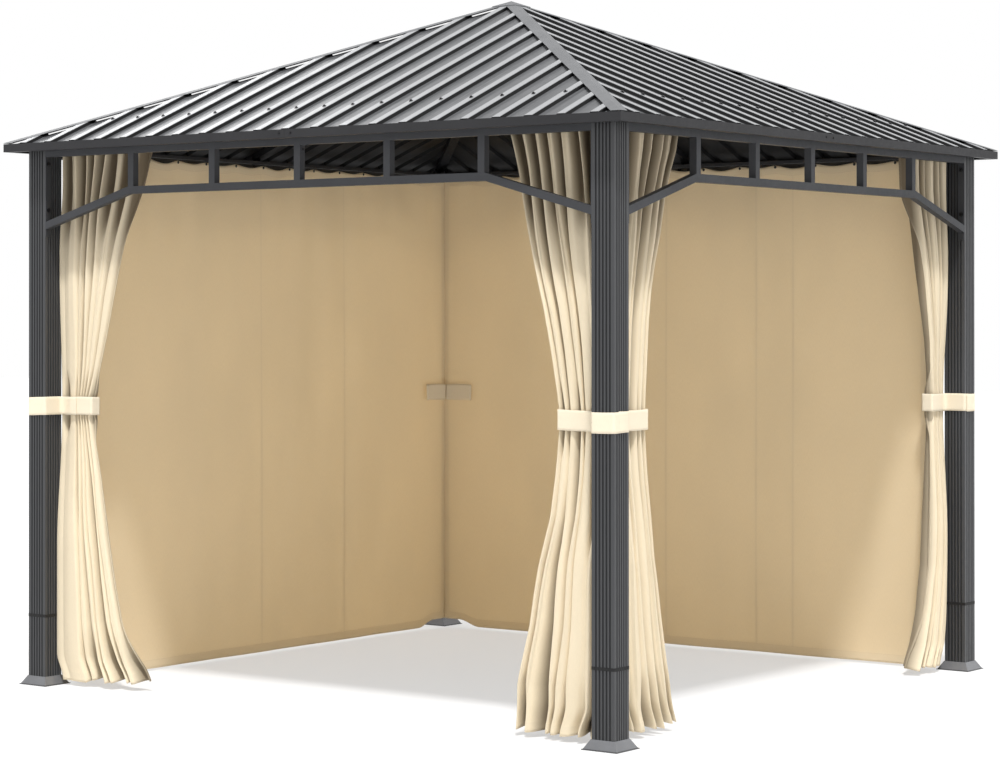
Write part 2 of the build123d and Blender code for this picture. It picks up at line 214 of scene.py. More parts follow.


# Powder coat on aluminium or steel: a soft tone, fine orange peel, a little rub.
# dark gives a mask where shade is painted into the coat, as a darker copy of its colour
def powderCoat(name, colour, roughness=0.45, gloss=0.4, streak=(1, 1, 1), tone=0.1, dark=None, paintedShadeFactor=0.3):
    material, tree, shader = startMaterial(name)
    tones = noise(tree, objectPlace(tree, streak), grain["patches"], 5.0, 0.6)
    coat = toned(tree, tones, colour, 1 - tone, 1 + tone)
    if dark:
        coat = blendColours(tree, dark(tree), coat, shaded(colour, paintedShadeFactor))
    rub = noise(tree, objectPlace(tree), grain["rub"], 4.0, 0.65)
    rubbed = rangeOf(tree, rub, roughness - 0.06, roughness + 0.08)
    setInputs(tree, shader, {"Base Color": coat, "Roughness": rubbed, "Specular IOR Level": gloss})
    bump(tree, shader, noise(tree, objectPlace(tree), grain["peel"], 2.0), grain["peelDepth"], 0.5)
    return material


roofSheet = {
    "crownHighlightFrom": (-0.0022, -0.0010),  # heights from the crowns, between which their painted highlight sets in
    "flankTone": (0.0010, 0.0022),  # heights from the pans, between which the flanks' painted shade sets in
    "brushed": 160.0,  # scales of the streaks, across and down the slope
    "brushedDown": 1.3,
    "brushedDepth": 0.0002,
    "grime": 9.0,
    "waves": 7.0,
    "waveDepth": 0.0012,
}


# Coated roof sheet: a painted highlight on the crowns, painted shade on the flanks, brushed pans, and a matt
# dark primer on its underside that also stands for the shade there
def roofCoat(name, pan, crown, flank, primerAndShade, gloss=0.3, roughness=0.34):
    material, tree, shader = startMaterial(name)
    facing = addNode(tree, "ShaderNodeNewGeometry")["Normal"]
    upwards = addNode(tree, "ShaderNodeSeparateXYZ", {"Vector": facing})["Z"]
    above = rangeOf(tree, upwards, 0, 1, -0.1, 0.1)

    x, y, z = coordinates(tree)
    farX, farY = calculate(tree, "ABSOLUTE", x), calculate(tree, "ABSOLUTE", y)
    distance = calculate(tree, "MAXIMUM", farX, farY)
    panLevel = calculate(tree, "SUBTRACT", apexHeight, calculate(tree, "MULTIPLY", distance, roofSlope))
    lift = calculate(tree, "SUBTRACT", z, panLevel)
    # Painted highlight and painted shade: crowns lighter and flanks darker, by their height above the pans
    crownHighlightMask = rangeOf(tree, lift, 0, 1, *(site["ribLift"] + value for value in roofSheet["crownHighlightFrom"]))
    flankShadeMask = rangeOf(tree, lift, 0, 1, *roofSheet["flankTone"])

    isFront = calculate(tree, "GREATER_THAN", farY, farX)
    alongX = calculate(tree, "MULTIPLY", x, isFront)
    alongY = calculate(tree, "MULTIPLY", y, calculate(tree, "SUBTRACT", 1.0, isFront))
    across = calculate(tree, "ADD", alongX, alongY)
    brushed = {"X": calculate(tree, "MULTIPLY", across, roofSheet["brushed"]),
               "Y": calculate(tree, "MULTIPLY", distance, roofSheet["brushedDown"])}
    streaks = noise(tree, addNode(tree, "ShaderNodeCombineXYZ", brushed)["Vector"], 1.0, 3.0, 0.6)
    grime = noise(tree, objectPlace(tree), roofSheet["grime"], 5.0, 0.7)
    coat = toned(tree, streaks, pan, 0.62, 1.4)
    coat = blendColours(tree, rangeOf(tree, grime, 0, 0.5, 0.45, 0.75), coat, shaded(pan, 0.8))
    coat = blendColours(tree, flankShadeMask, coat, flank)
    coat = blendColours(tree, crownHighlightMask, coat, crown)
    worn = calculate(tree, "ADD", rangeOf(tree, grime, roughness - 0.04, roughness + 0.06),
                     rangeOf(tree, above, 0.3, 0.0, 0, 1))
    # Faces turned down take the dark primer, which also stands as painted shade under the roof
    setInputs(tree, shader, {"Base Color": blendColours(tree, above, primerAndShade, coat), "Roughness": worn,
                             "Specular IOR Level": gloss})
    waves = noise(tree, objectPlace(tree), roofSheet["waves"], 2.0, 0.4)
    waviness = bump(tree, shader, waves, roofSheet["waveDepth"], 0.3)
    bump(tree, shader, streaks, roofSheet["brushedDepth"], 0.4, waviness)
    return material


def hardPlastic(name, colour, roughness=0.5):
    material, tree, shader = startMaterial(name)
    tones = noise(tree, objectPlace(tree), grain["mottle"], 3.0)
    rough = rangeOf(tree, tones, roughness - 0.05, roughness + 0.05)
    setInputs(tree, shader, {"Base Color": toned(tree, tones, colour, 0.85, 1.15), "Roughness": rough})
    moulding = noise(tree, objectPlace(tree), grain["moulding"], 2.0)
    bump(tree, shader, moulding, grain["mouldingDepth"], 0.4)
    return material


# Blackened zinc on screws and bolts
def plating(name, colour, roughness=0.4):
    material, tree, shader = startMaterial(name)
    tones = noise(tree, objectPlace(tree), grain["zinc"], 3.0)
    rough = rangeOf(tree, tones, roughness - 0.08, roughness + 0.1)
    setInputs(tree, shader, {"Base Color": toned(tree, tones, colour, 0.8, 1.15), "Roughness": rough,
                             "Metallic": 0.6})
    bump(tree, shader, tones, grain["zincDepth"], 0.5)
    return material


weave = {
    "pitch": 0.0022,  # of the threads
    "threadDepth": 0.0003,
    "slubs": (900, 60, 1),  # noise scales across and along the cloth
    "fade": (2.5, 1.2, 1),
    "creases": (9, 2.2, 1),
    "creaseDepth": 0.006,
    "seam": (0.003, 0.006),  # from its middle, where a seam starts to fade and where it ends
    "hemEdge": 0.001,
    # tint of the shade painted into folds
    "foldShadeTint": (1.0, 0.9, 0.8),
}


# Woven polyester: a plain weave along the piece's own width and length, slubs, soft creases, doubled hems,
# and shade painted into the colour where the fold attribute is high
def wovenCloth(name, colour, through=0.2, seams=(), hem=0.036, crease=0.35, folds=0.24):
    material, tree, shader = startMaterial(name)
    flat = surfacePlace(tree)
    waves = {"Vector": flat, "Scale": math.pi / 10 / weave["pitch"], "Distortion": 0.4}
    threads = [addNode(tree, "ShaderNodeTexWave", waves, bands_direction=way)["Fac"] for way in ("X", "Y")]
    woven = calculate(tree, "MAXIMUM", threads[0], threads[1])
    slubs = noise(tree, surfacePlace(tree, weave["slubs"]), 1.0, 3.0)
    fade = noise(tree, surfacePlace(tree, weave["fade"]), 1.0, 4.0, 0.55)
    thread = toned(tree, fade, colour, 0.96, 1.03)
    thread = blendColours(tree, rangeOf(tree, slubs, 0, 0.5), thread, shaded(colour, 0.88))

    edge = addNode(tree, "ShaderNodeAttribute", attribute_name="edge")["Fac"]
    doubled = rangeOf(tree, edge, 0.55, 0, hem - weave["hemEdge"], hem + weave["hemEdge"])
    across = addNode(tree, "ShaderNodeSeparateXYZ", {"Vector": flat})["X"]
    for seam in seams:
        away = calculate(tree, "ABSOLUTE", calculate(tree, "SUBTRACT", across, seam))
        doubled = calculate(tree, "MAXIMUM", doubled, rangeOf(tree, away, 0.6, 0, *weave["seam"]))
    thread = blendColours(tree, calculate(tree, "MULTIPLY", doubled, 0.6), thread, shaded(colour, 0.86))
    # Painted shade: darker and warmer where the fold attribute says the cloth lies deep in a fold or under
    # the roof
    fold = addNode(tree, "ShaderNodeAttribute", attribute_name="fold")["Fac"]
    paintedFoldShade = tuple(value * folds * tint for value, tint in zip(colour, weave["foldShadeTint"])) + (1.0,)
    thread = blendColours(tree, rangeOf(tree, fold, 0, 1, 0.1, 1), thread, paintedFoldShade)
    setInputs(tree, shader, {"Base Color": thread, "Roughness": 0.9, "Sheen Weight": 0.08,
                             "Sheen Roughness": 0.5, "Specular IOR Level": 0.15})
    creases = noise(tree, surfacePlace(tree, weave["creases"]), 1.0, 4.0, 0.6)
    soft = bump(tree, shader, creases, weave["creaseDepth"], crease)
    bump(tree, shader, woven, weave["threadDepth"], 0.35, soft)
    glow = addNode(tree, "ShaderNodeBsdfTranslucent", {"Color": thread})["BSDF"]
    share = rangeOf(tree, doubled, through, through * 0.6, 0, 1)
    mixShaders(tree, tree.nodes["Material Output"], share, shader.outputs["BSDF"], glow)
    return material


curtainColour = paint(244, 229, 200)
finish = {
    "post": powderCoat("postPaint", paint(62, 63, 65), 0.36, 0.4, streak=(1, 1, 0.15), dark=postGrooveShade),
    "cover": powderCoat("coverPaint", paint(104, 105, 108), 0.18, 0.7, tone=0.2, dark=coverLipShade),
    "joint": hardPlastic("jointPlastic", paint(8, 8, 9), 0.7),
    "truss": powderCoat("trussPaint", paint(60, 61, 64), 0.5, 0.25),
    "fascia": powderCoat("fasciaPaint", paint(44, 44, 46), 0.5, 0.25),
    # the pan, the crowns painted lighter as a highlight, the flanks painted darker as shade, and the dark
    # underside, partly painted shade
    "sheet": roofCoat("roofSheetCoat", paint(90, 91, 93), paint(152, 153, 155), paint(12, 12, 13),
                      paint(22, 22, 23), 0.15),
    "cap": powderCoat("roofCapCoat", paint(108, 109, 111), 0.5, 0.15),
    "rafter": powderCoat("rafterPaint", paint(34, 34, 36), 0.6, 0.1),
    "rail": powderCoat("railPaint", paint(44, 44, 46), 0.5, 0.2),
    "screw": plating("screwZinc", paint(40, 40, 42)),
    "hook": hardPlastic("hookPlastic", paint(34, 31, 28)),
    "leftCloth": wovenCloth("leftCurtainCloth", curtainColour, 0.5, seams=(0.795, 1.394), crease=0.15),
    "backCloth": wovenCloth("backCurtainCloth", curtainColour, 0.5, seams=(1.27, 1.74, 1.927), crease=0.15),
    "curtain": wovenCloth("curtainCloth", curtainColour, 0.12, crease=0.55),
    "tie": wovenCloth("tieCloth", paint(246, 233, 208), 0.06, hem=0.006),
    "thread": hardPlastic("seamThread", paint(204, 184, 152), 0.8),
}

# The first name that a CAD node's own name holds gives its finish
nodeFinish = {
    "post_splices": "joint", "post_cap_plates": "truss", "post_": "post", "base_cover": "cover",
    "fascia": "fascia", "roof_sheet": "sheet", "hip_caps": "cap", "peak_cap": "cap",
    "hip_rafters": "rafter", "mid_rafters": "rafter", "purlins": "rafter", "rafter_saddles": "rafter",
    "peak_hub": "rafter", "curtain_rails": "rail", "top_beam": "truss", "lower_rail": "truss",
    "uprights": "truss", "braces": "truss", "truss_joints": "truss",
}


def finishFrame():
    for name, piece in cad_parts.items():
        for part, look in nodeFinish.items():
            if part in name:
                piece.data.materials.clear()
                piece.data.materials.append(finish[look])
                break


finishFrame()
print("frame finished")


def plainPiece(piece):
    # its modifiers applied, as a plain mesh at the origin
    evaluated = piece.evaluated_get(bpy.context.evaluated_depsgraph_get())
    mesh = bpy.data.meshes.new_from_object(evaluated)
    mesh.name = piece.name
    piece.modifiers.clear()
    piece.data = mesh
    return piece


cloth = {
    "thickness": 0.0012,
    "hemThickness": 0.0026,
    "hemWidth": 0.036,
}


def smooth(value):
    value = min(max(value, 0.0), 1.0)
    return value * value * (3 - 2 * value)


def mixed(first, second, share):
    return first + (second - first) * share


# A grid of cloth: place(u, v) gives a point, across and along the flat size, with a hem all round. fold(u, v)
# gives how much shade is painted into the cloth's colour, for lying deep in a fold or high under the roof
def clothSheet(name, columns, rows, place, across, along, material, wall=None, fold=None):
    us = np.linspace(0, 1, columns + 1)
    vertices = [place(u, v) for v in rows for u in us]
    width = columns + 1
    faces = [
        (j * width + i, j * width + i + 1, (j + 1) * width + i + 1, (j + 1) * width + i)
        for j in range(len(rows) - 1)
        for i in range(columns)
    ]
    mesh = bpy.data.meshes.new(name)
    mesh.from_pydata(vertices, [], faces)
    layer = mesh.uv_layers.new(name="cloth")
    flat = [(u * across, (1 - v) * along) for v in rows for u in us]
    for loop in mesh.loops:
        layer.data[loop.index].uv = flat[loop.vertex_index]
    edges = [min(x, across - x, y, along - y) for x, y in flat]
    mesh.attributes.new("edge", "FLOAT", "POINT").data.foreach_set("value", edges)
    depths = [fold(u, v) if fold else 0.0 for v in rows for u in us]
    mesh.attributes.new("fold", "FLOAT", "POINT").data.foreach_set("value", depths)
    piece = newPiece(name, mesh)
    hem = piece.vertex_groups.new(name="hem")
    thin = cloth["thickness"] / cloth["hemThickness"]
    for index, edge in enumerate(edges):
        hem.add([index], 1.0 if edge < cloth["hemWidth"] else thin, "REPLACE")
    mesh.shade_smooth()
    body = piece.modifiers.new("body", "SOLIDIFY")
    body.thickness = wall or cloth["hemThickness"]
    body.offset = 0
    body.vertex_group = "hem"
    body.use_even_offset = False
    mesh.materials.append(material)
    return plainPiece(piece)


def declareCloth(piece, node, across, along, restsOn):
    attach(piece, "root")
    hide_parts(node)


def rowShares(count, edge):
    # shares of the height, closer together near the top and the hem
    steps = [i / count for i in range(count + 1)]
    return [value - edge * math.sin(4 * math.pi * value) / (4 * math.pi) for value in steps]


# The closed curtains hang along the back and the left from the corner that they share
wallCurtain = {
    "start": -1.3155,  # the two lap over each other at the corner
    "end": 1.268,  # beside the tie
    "top": 2.1855,  # of the cloth at its hooks
    "hem": 0.010,
    "cornerLift": 0.030,  # of the hem over the corner post's base cover
    "sag": 0.013,  # of the top edge between two hooks
    "wave": 0.006,  # in and out at the hooks
    "usualBay": 0.186,  # between two hooks
    "sagFade": 0.09,  # down the cloth
    "waveFade": 0.25,
    "fold": 0.0012,  # faint folds over the whole wall
    "bulge": 0.003,
    "hemWave": 0.003,
    "columns": 240,
    "rows": 90,
    "leftHooks": (-1.285, -1.225, -1.04, -0.856, -0.669, -0.492, -0.302, -0.125, 0.06, 0.248, 0.452,
                  0.633, 0.82, 1.005, 1.19, 1.255),
    "backHooks": (-1.285, -1.157, -0.97, -0.783, -0.596, -0.409, -0.222, -0.035, 0.152, 0.339, 0.521,
                  0.722, 0.914, 1.111, 1.255),
}


def onBack(s, offset, z):
    return (s, site["hookPlane"] - offset, z)


def onLeft(s, offset, z):
    return (offset - site["hookPlane"], -s, z)


# Hung in shallow scallops, almost flat below, with faint folds and a hem that stays just off the ground
def wallPlace(where, hooks, seed):
    w = wallCurtain
    rng = random.Random(seed)
    height = w["top"] - w["hem"]
    folds = [(rng.uniform(1.1, 4.5), rng.uniform(0, 6.28), rng.uniform(0.25, 1.0)) for _ in range(4)]
    sags = [rng.uniform(0.75, 1.25) for _ in hooks]

    def place(u, v):
        s = mixed(w["start"], w["end"], u)
        z = w["top"] - v * height
        drop = v * height
        index = int(min(max(np.searchsorted(hooks, s) - 1, 0), len(hooks) - 2))
        bay = (s - hooks[index]) / (hooks[index + 1] - hooks[index])
        wide = min((hooks[index + 1] - hooks[index]) / w["usualBay"], 1.2)
        inBay = math.sin(math.pi * min(max(bay, 0.0), 1.0))
        z -= w["sag"] * sags[index] * wide * inBay ** 1.4 * math.exp(-drop / w["sagFade"])
        offset = w["wave"] * (inBay ** 2 - 0.5) * wide * math.exp(-drop / w["waveFade"])
        for count, phase, size in folds:
            bend = 0.35 * math.sin(v * 3.1 + phase)
            offset += w["fold"] * size * math.sin(2 * math.pi * count * (s + 1.3) + phase + bend)
        offset += w["bulge"] * math.sin(2.4 * z + 1.1 * s)
        offset += w["hemWave"] * math.sin(10.7 * s) * smooth((v - 0.85) / 0.15)
        z += w["cornerLift"] * smooth((-1.10 - s) / 0.12) * smooth((v - 0.93) / 0.07)
        return where(s, offset, z)

    return place, height


def closedCurtain(name, node, where, hooks, seed, material):
    w = wallCurtain
    place, height = wallPlace(where, hooks, seed)
    across = w["end"] - w["start"]
    piece = clothSheet(name, w["columns"], rowShares(w["rows"], 0.55), place, across, height, material)
    declareCloth(piece, node, across, height, "curtain_rails")
    return place


backPlace = closedCurtain("backCurtain", "back_curtain", onBack, wallCurtain["backHooks"], 7,
                          finish["backCloth"])
leftPlace = closedCurtain("leftCurtain", "left_curtain", onLeft, wallCurtain["leftHooks"], 8,
                          finish["leftCloth"])
print("drawn curtains made")


drawnBack = {
    "outer": (-0.016, 0.003, -0.030),  # ridges, inwards from the solids' outer face: top, tie, hem
    "depth": (0.074, 0.040, 0.092),  # from ridge to valley: top, tie, hem
    "gather": 0.005,  # fine gathers under the heading
    "gatherPitch": 0.024,
    "gatherFade": 0.2,
    "release": 0.55,  # height over which the cloth leaves the tie's line
    "broadFrom": 1.78,  # below this the upper valleys take their "high" depth
    "baseFrom": 0.95,  # below this the lower valleys take their "base" depth
    "gapeFrom": 0.26,  # below this they gape
    "lean": 0.27,  # of a valley towards one of its ridges, in pleats
    "sway": 0.007,  # of the ridges from side to side
    "headSag": 0.005,  # of the heading in the valleys
    "ridgeLift": 0.012,  # of the hem at most, by chance
    "valleyLift": 0.016,  # of the hem where a valley gapes
    "postGap": -0.001,
    "coverReach": 0.035,  # of the base cover beyond the post
    "coverClear": 0.13,  # below this the cloth starts to move off the cover
    "mitre": 0.13,  # width of the stretch that makes room for the other curtain
    "shadeFrom": 1.55,  # above this shade from the roof is painted into the cloth
    "shade": 0.34,
    "rows": 130,
    "perPleat": 32,  # columns
}

# "edge" gives (height, distance from the post) down the free edge, and the ridges of the pleats stand at
# "top", "tie" and "hem". "high", "low" and "base" say how deep the valley after each ridge is above the tie,
# just below it and further down, "open" how wide it gapes at the hem, and "free" how far the last pleat has
# turned at the free edge
bundles = {
    "frontLeftCurtain": {
        "node": "front_left_bundle", "seed": 3, "free": 0.75,
        "edge": ((2.19, 0.460), (2.09, 0.431), (1.99, 0.398), (1.84, 0.356), (1.64, 0.305), (1.46, 0.256),
                 (1.29, 0.203), (1.181, 0.162), (1.107, 0.162), (1.01, 0.180), (0.85, 0.222), (0.71, 0.252),
                 (0.44, 0.305), (0.28, 0.345), (0.10, 0.415), (0.018, 0.456)),
        "top": (0.0, 0.091, 0.141, 0.196, 0.254, 0.317, 0.400),
        "tie": (0.0, 0.070, 0.086, 0.101, 0.115, 0.129, 0.145),
        "hem": (0.0, 0.140, 0.172, 0.255, 0.290, 0.362, 0.390),
        "high": (0.12, 0.18, 1.0, 0.35, 0.15, 0.3, 0.35),
        "low": (0.1, 1.0, 0.2, 0.3, 0.5, 0.3, 0.3),
        "base": (0.1, 0.18, 0.35, 0.2, 0.9, 0.2, 0.35),
        "open": (0.0, 0.5, 0.9, 0.4, 1.0, 0.8, 0.9),
    },
    "frontRightCurtain": {
        "node": "front_right_bundle", "seed": 11, "free": 1.0, "mitred": True,
        "edge": ((2.19, 0.413), (2.12, 0.394), (2.05, 0.376), (1.95, 0.355), (1.8, 0.320), (1.63, 0.281),
                 (1.54, 0.259), (1.40, 0.233), (1.24, 0.208), (1.181, 0.200), (1.107, 0.200), (0.94, 0.212),
                 (0.795, 0.227), (0.62, 0.272), (0.51, 0.293), (0.405, 0.310), (0.19, 0.366), (0.018, 0.382)),
        "top": (0.02, 0.102, 0.190, 0.250, 0.309, 0.361),
        "tie": (0.008, 0.030, 0.085, 0.104, 0.150, 0.172),
        "hem": (0.02, 0.070, 0.165, 0.205, 0.240, 0.330),
        "high": (1.0, 0.12, 0.9, 0.35, 0.8, 0.3),
        "low": (0.5, 0.9, 0.2, 1.0, 0.2, 0.2),
        "base": (0.3, 0.15, 0.2, 0.3, 0.9, 0.3),
        "open": (0.8, 0.3, 0.5, 0.9, 0.4, 1.0),
    },
    "rightFrontCurtain": {
        "node": "right_front_bundle", "seed": 19, "free": 1.0, "mitred": True,
        "edge": ((2.19, 0.508), (2.12, 0.490), (2.05, 0.455), (1.95, 0.406), (1.87, 0.374), (1.79, 0.346),
                 (1.7, 0.315), (1.6, 0.290), (1.5, 0.277), (1.3, 0.268), (1.181, 0.262), (1.107, 0.262),
                 (0.94, 0.268), (0.75, 0.284), (0.645, 0.294), (0.54, 0.318), (0.43, 0.339), (0.25, 0.381),
                 (0.11, 0.437), (0.018, 0.478)),
        "top": (0.02, 0.090, 0.160, 0.230, 0.300, 0.374, 0.437),
        "tie": (0.008, 0.045, 0.068, 0.130, 0.152, 0.205, 0.232),
        "hem": (0.02, 0.065, 0.155, 0.190, 0.285, 0.340, 0.430),
        "high": (0.9, 0.2, 1.0, 0.2, 0.9, 0.3, 0.4),
        "low": (0.3, 0.9, 0.2, 0.8, 0.3, 0.9, 0.4),
        "base": (0.2, 0.2, 0.9, 0.2, 0.3, 0.8, 0.4),
        "open": (0.6, 0.9, 0.3, 0.9, 0.8, 1.0, 0.9),
    },
    "rightBackCurtain": {
        "node": "right_back_bundle", "seed": 27, "free": 0.6, "outer": -0.034,
        "edge": ((2.19, 0.345), (2.04, 0.335), (1.94, 0.310), (1.83, 0.280), (1.58, 0.205), (1.41, 0.145),
                 (1.22, 0.104), (1.181, 0.100), (1.107, 0.100), (1.03, 0.112), (0.74, 0.128), (0.45, 0.145),
                 (0.28, 0.190), (0.11, 0.250), (0.018, 0.300)),
        "top": (0.002, 0.040, 0.110, 0.175, 0.227, 0.262, 0.300),
        "tie": (0.002, 0.016, 0.031, 0.046, 0.060, 0.072, 0.085),
        "hem": (0.035, 0.075, 0.115, 0.155, 0.200, 0.240, 0.275),
        "high": (0.6, 0.9, 0.3, 1.0, 0.4, 0.9, 0.15),
        "low": (0.5, 0.9, 0.3, 1.0, 0.4, 0.9, 0.3),
        "base": (0.4, 0.9, 0.3, 1.0, 0.5, 0.9, 0.4),
        "open": (0.5, 0.9, 0.4, 1.0, 0.8, 0.9, 0.6),
    },
}


# along and inward are measured from the corner beside a post where two curtains' outer faces would meet
def fromFrontLeft(along, inward, z):
    return (along - site["curtainOutside"], inward - site["curtainOutside"], z)


def fromFrontRight(along, inward, z):
    return (site["curtainOutside"] - along, inward - site["curtainOutside"], z)


def fromRightFront(along, inward, z):
    return (site["curtainOutside"] - inward, along - site["curtainOutside"], z)


def fromRightBack(along, inward, z):
    return (site["curtainOutside"] - inward, site["curtainOutside"] - along, z)


# Deep pleats that run together at the tie and fan out below it, with broad folds and gaping ends at the hem.
# The line gives the point at (u, v), as (along, inward, z), and how much shade is painted there, deep in a
# fold or under the roof
def bundleLine(facts):
    d = drawnBack
    rng = random.Random(facts["seed"])
    pleats = len(facts["top"])
    top, bottom = site["curtainTop"], site["curtainHem"]
    low, high = site["tieLow"], site["tieHigh"]
    height = top - bottom
    heights = [row[0] for row in reversed(facts["edge"])]
    distances = [row[1] for row in reversed(facts["edge"])]
    narrow = float(np.interp(high, heights, distances))
    span = {"top": distances[-1] - narrow, "hem": distances[0] - narrow}
    wander = [(rng.uniform(2.0, 5.0), rng.uniform(0, 6.28), rng.uniform(0.4, 1.0)) for _ in range(pleats + 1)]
    lifts = [rng.uniform(0.0, d["ridgeLift"]) for _ in range(pleats + 1)]
    reach = [rng.uniform(0.55, 1.0) for _ in range(pleats + 1)]
    leans = [rng.uniform(-1.0, 1.0) for _ in range(pleats)]
    gathers = round(distances[-1] / d["gatherPitch"])

    def valleyDepth(index, z, gape):
        # how much of the full depth the valley after a ridge has
        if z > (low + high) / 2:
            broad = smooth((z - high) / 0.12) * (1 - smooth((z - d["broadFrom"]) / 0.28))
            return mixed(1.0, facts["high"][index], broad)
        below = mixed(facts["low"][index], facts["base"][index], smooth((d["baseFrom"] - z) / 0.35))
        return mixed(1.0, below, smooth((low - z) / 0.12) * (1 - gape))

    def line(u, v):
        z = top - v * height
        edge = float(np.interp(z, heights, distances))
        upper = z > (low + high) / 2
        spread = max((edge - narrow) / span["top" if upper else "hem"], 0.0)
        away = smooth((z - high if upper else low - z) / d["release"])
        level = 0 if upper else 2
        reached = facts.get("outer", d["outer"][0]) if upper else d["outer"][2]
        outer = mixed(d["outer"][1], reached, away)
        depth = mixed(d["depth"][1], d["depth"][level], away)
        ends = facts["top"] if upper else facts["hem"]
        ridges = [mixed(tie, end, spread) for tie, end in zip(facts["tie"], ends)] + [edge]

        turns = u * (pleats - 1 + facts["free"])
        index = int(min(turns, pleats - 1))
        part = turns - index
        last = facts["free"] if index == pleats - 1 else 1.0
        between = part / last
        gape = smooth((d["gapeFrom"] - z) / 0.22) * facts["open"][index]
        sharp = mixed(0.5, 1.8, smooth((z - 1.62) / 0.4)) if upper else mixed(0.6, 1.4, gape)
        leaning = part + d["lean"] * leans[index] * math.sin(math.pi * part)
        ridge = ((1 + math.cos(2 * math.pi * leaning)) / 2) ** sharp
        deep = valleyDepth(index, z, gape)
        stand = mixed(reach[index], reach[index + 1], smooth(between))
        inward = outer + depth * (1 - ridge * mixed(1.0, stand, away * ridge)) * deep
        fine = math.sin(2 * math.pi * u * gathers) * math.exp((z - top) / d["gatherFade"])
        inward += d["gather"] * fine

        (rate, phase, size), (nextRate, nextPhase, nextSize) = wander[index], wander[index + 1]
        sway = size * math.sin(rate * z * 2.3 + phase)
        sway = mixed(sway, nextSize * math.sin(nextRate * z * 2.3 + nextPhase), between)
        along = mixed(ridges[index], ridges[index + 1], between)
        along += d["sway"] * sway * away * smooth(along / 0.05) * smooth((edge - along) / 0.03)
        clear = d["postGap"] + d["coverReach"] * smooth((d["coverClear"] - z) / 0.11)
        along = clear + along * (edge - clear) / edge
        if facts.get("mitred") and along < d["mitre"]:
            along += (max(inward, 0.0) + 0.002) * (1 - along / d["mitre"])
        z -= d["headSag"] * (1 - ridge) * math.exp((z - top) / 0.05)
        z += mixed(lifts[index], lifts[index + 1], between) * smooth((v - 0.94) / 0.06)
        z += d["valleyLift"] * gape * (1 - ridge)
        # Painted shade: darker deep in a fold, and greyer near the top as under the roof
        shadow = smooth((z - d["shadeFrom"]) / 0.35)
        fold = min(1.25 * (1 - ridge) * deep, 1.0) * mixed(0.9, 1.0, shadow) + d["shade"] * shadow
        return (along, inward, z), min(fold, 1.0)

    return line, height


def flatWidth(place, columns):
    # the mean length of the pleated line at four heights
    lengths = []
    for v in (0.05, 0.3, 0.7, 0.9):
        points = [Vector(place(u, v)) for u in np.linspace(0, 1, columns + 1)]
        lengths.append(sum((b - a).length for a, b in zip(points, points[1:])))
    return sum(lengths) / len(lengths)


def pleatedCurtain(name, facts, where):
    line, height = bundleLine(facts)

    def place(u, v):
        return where(*line(u, v)[0])

    def fold(u, v):
        return line(u, v)[1]

    columns = len(facts["top"]) * drawnBack["perPleat"]
    across = flatWidth(place, columns)
    rows = rowShares(drawnBack["rows"], 0.35)
    piece = clothSheet(name, columns, rows, place, across, height, finish["curtain"], fold=fold)
    declareCloth(piece, facts["node"], across, height, "curtain_rails")


wheres = (fromFrontLeft, fromFrontRight, fromRightFront, fromRightBack)
for (name, facts), where in zip(bundles.items(), wheres):
    pleatedCurtain(name, facts, where)
print("drawn-back curtains made")


# Ties go round a post and the curtain beside it and lap over their own start
tieBand = {
    "thickness": 0.0024,
    "corner": 0.008,  # radius
    "step": 0.007,  # between two points of the line
    "off": 0.0022,  # middle of the band from what it goes round
    "sway": 0.002,
    "ripples": (9, 23),  # radians to a metre
    "rows": 8,
    "depth": 0.046,  # of the gathered cloth inside
    "dip": 0.012,  # where the band turns from the post to the cloth
    "lap": 0.060,
    "widths": {"frontLeft": 0.168, "frontRight": 0.205, "rightFront": 0.276, "rightBack": 0.112},
}


def roundedLine(points, radius, step):
    # a closed line with rounded corners, as evenly spaced points
    count = len(points)
    line = []
    for i, point in enumerate(points):
        here = Vector(point)
        back = Vector(points[i - 1]) - here
        ahead = Vector(points[(i + 1) % count]) - here
        reach = min(radius, back.length * 0.45, ahead.length * 0.45)
        start = here + back.normalized() * reach
        end = here + ahead.normalized() * reach
        line += [start.lerp(here, t).lerp(here.lerp(end, t), t) for t in np.linspace(0, 1, 5)]
    line.append(line[0])
    lengths = np.cumsum([0] + [(b - a).length for a, b in zip(line, line[1:])])
    marks = np.linspace(0, lengths[-1], int(lengths[-1] / step) + 1)[:-1]
    xs = np.interp(marks, lengths, [p.x for p in line])
    ys = np.interp(marks, lengths, [p.y for p in line])
    return [Vector(pair) for pair in zip(xs, ys)]


def outwards(points, first, second):
    # the unit normal of an edge, away from the inside of the closed line that it is part of
    area = sum(a[0] * b[1] - b[0] * a[1] for a, b in zip(points, points[1:] + points[:1]))
    along = (Vector(second) - Vector(first)).normalized()
    return Vector((along.y, -along.x)) * (1 if area > 0 else -1)


def pushedOut(points, gap):
    # every corner moved outwards so that both its edges move by gap
    grown = []
    for i, point in enumerate(points):
        first = outwards(points, points[i - 1], point)
        second = outwards(points, point, points[(i + 1) % len(points)])
        between = first + second
        grown.append(Vector(point) + between / max(between.dot(first), 0.35) * gap)
    return grown


def lappedLine(points, start, lap):
    # begins nearest to start, goes once round and laps over itself, standing out by a thickness
    first = min(range(len(points)), key=lambda i: (points[i] - Vector(start)).length)
    ring = points[first:] + points[:first]
    line = list(ring)
    for i in range(int(lap / tieBand["step"]) + 1):
        out = outwards(ring, ring[i], ring[i + 1])
        line.append(ring[i] + out * tieBand["thickness"] * 1.5 * smooth(i / 3))
    return line


